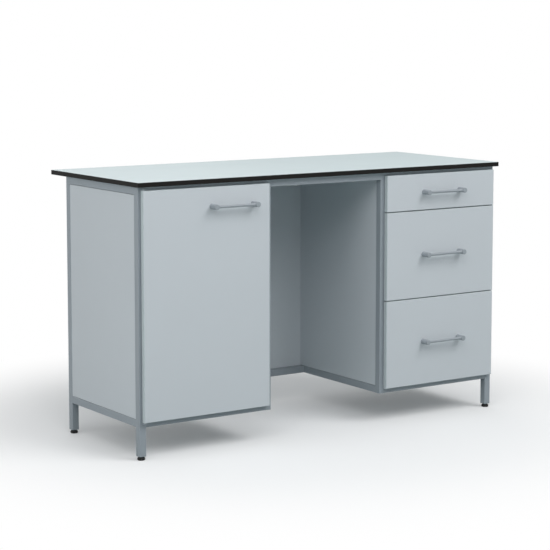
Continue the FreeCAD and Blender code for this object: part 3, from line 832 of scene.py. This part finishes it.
# %% Weld every joint
def welded_frame():
    """All the seams of the frame, worked out from where its tubes end."""
    bm = bmesh.new()
    inner_x = LEG_X - HALF
    between = (FRONT_Y + HALF, REAR_Y - HALF)
    both_y = [Y_AXIS, -Y_AXIS]
    both_x = [X_AXIS, -X_AXIS]
    both_z = [Z_AXIS, -Z_AXIS]
    for way in (1.0, -1.0):
        out = X_AXIS * way
        for y in (FRONT_Y, REAR_Y):
            seam_round(bm, Vector((way * inner_x, y, TOP_RAIL_Z)), out, both_y, [-Z_AXIS])
            seam_round(bm, Vector((way * inner_x, y, BOTTOM_RAIL_Z)), out, both_y, both_z)
        seam_round(bm, Vector((way * (POST_X + HALF), FRONT_Y, BOTTOM_RAIL_Z)), -out, both_y, [Z_AXIS])
        seam_round(bm, Vector((way * POST_X, FRONT_Y, TOP_RAIL_Z - HALF)), Z_AXIS, both_y, both_x)
        for y, facing in zip(between, (-Y_AXIS, Y_AXIS)):
            seam_round(bm, Vector((way * LEG_X, y, TOP_RAIL_Z)), facing, both_x, [-Z_AXIS])
            seam_round(bm, Vector((way * LEG_X, y, BOTTOM_RAIL_Z)), facing, both_x, both_z)
            seam_round(bm, Vector((way * POST_X, y, TOP_RAIL_Z)), facing, both_z, both_x)
        seam_round(bm, Vector((way * POST_X, between[0], BOTTOM_RAIL_Z)), -Y_AXIS, both_x, [Z_AXIS])
        seam_round(bm, Vector((way * POST_X, between[1], BOTTOM_RAIL_Z)), Y_AXIS, both_z, both_x)
    return bm


seams = make_piece("weld_seams", finish_mesh("weld_seams", welded_frame()), frame_paint, "frame")
print("weld seams", len(seams.data.polygons), "faces")

# %% [markdown]
# ## Screws
#
# Screws hold the worktop, the back panels, the cleats, the handle and strike plate of the door,
# and the drawer boxes. All that shows of one is its head: a low dome with a cross recess. Each
# kind has its own radius and height. For a set of screws the head is turned once, two bars cut
# the cross out of it, and copies of that mesh go to the places of the set. Each copy is turned by
# a different angle, as a screwdriver would leave it. The places come from the solids: a panel's
# own corners, the ends of a drawer box, the posts of a handle.

# %% A screw head
HEAD_SIZES = {
    "panel": (3.8 * MM, 1.9 * MM),
    "worktop": (5.0 * MM, 2.6 * MM),
    "cleat": (3.0 * MM, 1.5 * MM),
    "handle": (4.2 * MM, 1.9 * MM),
    "strike": (2.2 * MM, 0.2 * MM),
    "drawer_front": (3.8 * MM, 1.6 * MM),
    "drawer_box": (3.4 * MM, 0.4 * MM),
}
HEAD_SUNK = 0.3 * MM
HEAD_SEGMENTS = 18
DOME_SHARE = 0.8
RECESS_LENGTH = 1.25
RECESS_WIDTH = 0.26
RECESS_DEPTH = 0.7


def screw_head(radius, height):
    """A domed head that stands on z = 0 with a third of it upright, and a cross recess."""
    profile = [(0, -HEAD_SUNK, 0), (radius, -HEAD_SUNK, 0), (radius, height / 3, 0),
               (radius * DOME_SHARE, height * DOME_SHARE, 0), (0, height, 0)]
    bm = bmesh.new()
    turned(bm, Vector(), Z_AXIS, profile, HEAD_SEGMENTS)
    shells = [finish_mesh("head", bm)]
    long_side = radius * RECESS_LENGTH
    short_side = radius * RECESS_WIDTH
    for length, width in ((long_side, short_side), (short_side, long_side)):
        bm = bmesh.new()
        bmesh.ops.create_cube(bm, size=1.0)
        bmesh.ops.scale(bm, verts=bm.verts, vec=(length, width, height * RECESS_DEPTH * 2))
        bmesh.ops.translate(bm, verts=bm.verts, vec=(0.0, 0.0, height))
        shells.append(finish_mesh("recess", bm))
    return combined("screw_head", shells, "DIFFERENCE")


print("kinds of screw", sorted(HEAD_SIZES))

# %% Sets of screws
DRIVEN_TURN = 1.9


def set_screws(name, body, kind, places):
    """Screw heads of a kind at (place, outward direction) pairs, as one piece on a body."""
    template = screw_head(*HEAD_SIZES[kind])
    bm = bmesh.new()
    for index, (place, out) in enumerate(places):
        start = len(bm.verts)
        bm.from_mesh(template)
        bm.verts.ensure_lookup_table()
        upright = out.to_track_quat("Z", "Y").to_matrix().to_4x4()
        turn = upright @ Matrix.Rotation(index * DRIVEN_TURN, 4, "Z")
        bmesh.ops.transform(bm, matrix=Matrix.Translation(place) @ turn, verts=bm.verts[start:])
    piece = make_piece(name, finish_mesh(name, bm), zinc_steel, body)
    print(name, len(places), "heads,", len(piece.data.polygons), "faces")


print("each head turned", DRIVEN_TURN, "radians further than the one before")

# %% Screws in the back panels
PANEL_SCREW_INSET = 6.5 * MM
SEAM_SCREW_INSET = 5.5 * MM
ROW_END = 60.0 * MM
ROW_SCREWS = 3
COLUMN_STEPS = 3


def shares(first, last, count):
    """Evenly spaced values from the first to the last."""
    return [first + (last - first) * step / (count - 1) for step in range(count)]


back_places = []
for node in ("back_panel_left", "back_panel_kneehole", "back_panel_right"):
    low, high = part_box(node)
    across = shares(low.x + ROW_END, high.x - ROW_END, ROW_SCREWS)
    for z in (low.z + PANEL_SCREW_INSET, high.z - PANEL_SCREW_INSET):
        back_places += [(Vector((x, high.y, z)), Y_AXIS) for x in across]
    middle_heights = shares(low.z, high.z, COLUMN_STEPS + 1)[1:-1]
    if node == "back_panel_kneehole":
        columns = (low.x + SEAM_SCREW_INSET, high.x - SEAM_SCREW_INSET)
    else:
        columns = (low.x + PANEL_SCREW_INSET,) if low.x < 0 else (high.x - PANEL_SCREW_INSET,)
    for x in columns:
        back_places += [(Vector((x, high.y, z)), Y_AXIS) for z in middle_heights]
set_screws("back_panel_screws", "frame", "panel", back_places)

# %% Screws under the worktop
WORKTOP_SCREW_X = (-560.0 * MM, -120.0 * MM, 120.0 * MM, 560.0 * MM)

worktop_places = [(Vector((x, y, TOP_RAIL_Z - HALF)), -Z_AXIS) for x in WORKTOP_SCREW_X
                  for y in (FRONT_Y, REAR_Y)]
set_screws("worktop_screws", "frame", "worktop", worktop_places)

# %% Boxes of separate solids
def solid_boxes(node):
    """The lowest and highest corners of each separate solid in a node."""
    bm = bmesh.new()
    bm.from_mesh(frame["nodes"][node].data)
    bmesh.ops.remove_doubles(bm, verts=bm.verts, dist=MERGE)
    visited = set()
    boxes = []
    for vert in bm.verts:
        if vert in visited:
            continue
        island = [vert]
        visited.add(vert)
        for reached in island:
            for edge in reached.link_edges:
                other = edge.other_vert(reached)
                if other not in visited:
                    visited.add(other)
                    island.append(other)
        sides = list(zip(*(member.co for member in island)))
        boxes.append((Vector([min(side) for side in sides]), Vector([max(side) for side in sides])))
    bm.free()
    return boxes


cleat_boxes = solid_boxes("panel_cleats")
print("cleats", len(cleat_boxes))

# %% Screws in the cleats
CLEAT_SCREW_OUT = 13.0 * MM
CLEAT_SCREW_UP = 8.0 * MM
CLEAT_THICK = 1.5 * MM

cleat_places = []
for low, high in cleat_boxes:
    middle = (low + high) / 2
    at_end_panel = abs(middle.x) > (LEG_X + POST_X) / 2
    panel_is_right = (middle.x > 0) == at_end_panel
    face_x = high.x - CLEAT_THICK if panel_is_right else low.x + CLEAT_THICK
    y = low.y + CLEAT_SCREW_OUT if middle.y < 0 else high.y - CLEAT_SCREW_OUT
    out = -X_AXIS if panel_is_right else X_AXIS
    for up in (-CLEAT_SCREW_UP, CLEAT_SCREW_UP):
        cleat_places.append((Vector((face_x, y, middle.z + up)), out))
set_screws("cleat_screws", "frame", "cleat", cleat_places)

# %% Screws in the door
SCREW_EDGE = 7.5 * MM

low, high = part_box("door_handle")
post_radius = (high.z - low.z) / 2
door_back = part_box("door_panel")[1].y
handle_z = (low.z + high.z) / 2
handle_places = [(Vector((x, door_back, handle_z)), Y_AXIS)
                 for x in (low.x + post_radius, high.x - post_radius)]
set_screws("door_handle_screws", "door", "handle", handle_places)

low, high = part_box("door_strike_plate")
middle = (low + high) / 2
strike_places = [(Vector((x, high.y, middle.z)), Y_AXIS)
                 for x in (low.x + SCREW_EDGE, high.x - SCREW_EDGE)]
set_screws("strike_plate_screws", "door", "strike", strike_places)

# %% Screws in the drawers
BOARD_THICK = 16.0 * MM
RUNNER_TOP = 60.0 * MM
FRONT_SCREW_X = 150.0 * MM
FRONT_SCREW_SHARES = (0.4, 0.8)

for name in DRAWERS:
    low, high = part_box(f"drawer_{name}_box")
    middle = (low + high) / 2
    front_heights = [low.z + (high.z - low.z) * share for share in FRONT_SCREW_SHARES]
    front_places = [(Vector((middle.x + x, low.y + BOARD_THICK, z)), Y_AXIS)
                    for x in (-FRONT_SCREW_X, FRONT_SCREW_X) for z in front_heights]
    set_screws(f"drawer_{name}_front_screws", f"drawer_{name}", "drawer_front", front_places)
    heights = [low.z + SCREW_EDGE, high.z - SCREW_EDGE]
    if high.z - low.z > 2 * RUNNER_TOP:
        heights.append((low.z + RUNNER_TOP + high.z) / 2)
    corner_places = [(Vector((x, y, z)), out) for x, out in ((low.x, -X_AXIS), (high.x, X_AXIS))
                     for y in (low.y + BOARD_THICK / 2, high.y - BOARD_THICK / 2) for z in heights]
    set_screws(f"drawer_{name}_box_screws", f"drawer_{name}", "drawer_box", corner_places)

# %% [markdown]
# ## Magnetic catch
#
# The door is held shut by a small magnetic catch under the top rail. Its housing is a white
# moulded block with rounded edges and a pocket in front. Two steel pole plates stand in the
# pocket with a flat magnet between them, and the strike plate on the door meets their edges. The
# pocket could be an inset face pushed in, but cutting it with a second block leaves the rounded
# edges of the first alone.

# %% Blocks
def brick(low, high, rounding=0.0):
    """A block between two corners, with rounded edges if asked for."""
    bm = bmesh.new()
    bmesh.ops.create_cube(bm, size=1.0)
    bmesh.ops.scale(bm, verts=bm.verts, vec=high - low)
    bmesh.ops.translate(bm, verts=bm.verts, vec=(low + high) / 2)
    if rounding:
        bmesh.ops.bevel(bm, geom=bm.edges[:], offset=rounding, offset_type="OFFSET", segments=3,
                        profile=0.5, affect="EDGES", material=-1)
    return bm


print("block helper ready")

# %% Catch pieces
CATCH_ROUND = 1.2 * MM
POCKET_WALL = 2.4 * MM
POCKET_DEPTH = 2.5 * MM
POLE_THICK = 1.5 * MM
POLE_INSET = 3.4 * MM
POLE_ROUND = 0.2 * MM
MAGNET_BACK = 0.8 * MM


def catch_pieces():
    """The housing with its pocket, the two pole plates and the magnet."""
    low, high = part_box("door_catch")
    margin = Vector((POCKET_WALL, 0.0, POCKET_WALL))
    pocket_low = low + margin - Y_AXIS * POCKET_DEPTH
    pocket_high = high - margin
    pocket_high.y = low.y + POCKET_DEPTH
    housing = combined("catch_housing", [finish_mesh("housing", brick(low, high, CATCH_ROUND)),
                                         finish_mesh("pocket", brick(pocket_low, pocket_high))],
                       "DIFFERENCE")
    inset = Vector((POLE_INSET, 0.0, POLE_INSET))
    plates = bmesh.new()
    for z in (low.z + POLE_INSET, high.z - POLE_INSET - POLE_THICK):
        plate_low = Vector((low.x + POLE_INSET, low.y, z))
        plate_high = Vector((high.x - POLE_INSET, low.y + POCKET_DEPTH + SUNK, z + POLE_THICK))
        plates.from_mesh(finish_mesh("plate", brick(plate_low, plate_high, POLE_ROUND)))
    magnet_low = low + inset + Vector((0.0, MAGNET_BACK, POLE_THICK))
    magnet_high = high - inset - Vector((0.0, 0.0, POLE_THICK))
    magnet_high.y = low.y + POCKET_DEPTH + SUNK
    return [
        make_piece("door_catch_housing", housing, catch_plastic, "frame",
                   ("door_catch",)),
        make_piece("door_catch_poles", finish_mesh("poles", plates), zinc_steel, "frame"),
        make_piece("door_catch_magnet", finish_mesh("magnet", brick(magnet_low, magnet_high)),
                   black_plastic, "frame"),
    ]


print("catch", [piece.name for piece in catch_pieces()])

# %% [markdown]
# ## The last cell
#
# The dressed bench keeps the size of its solids. The last cell only brings the scene up to date.

# %% Bring the scene up to date
bpy.context.view_layer.update()
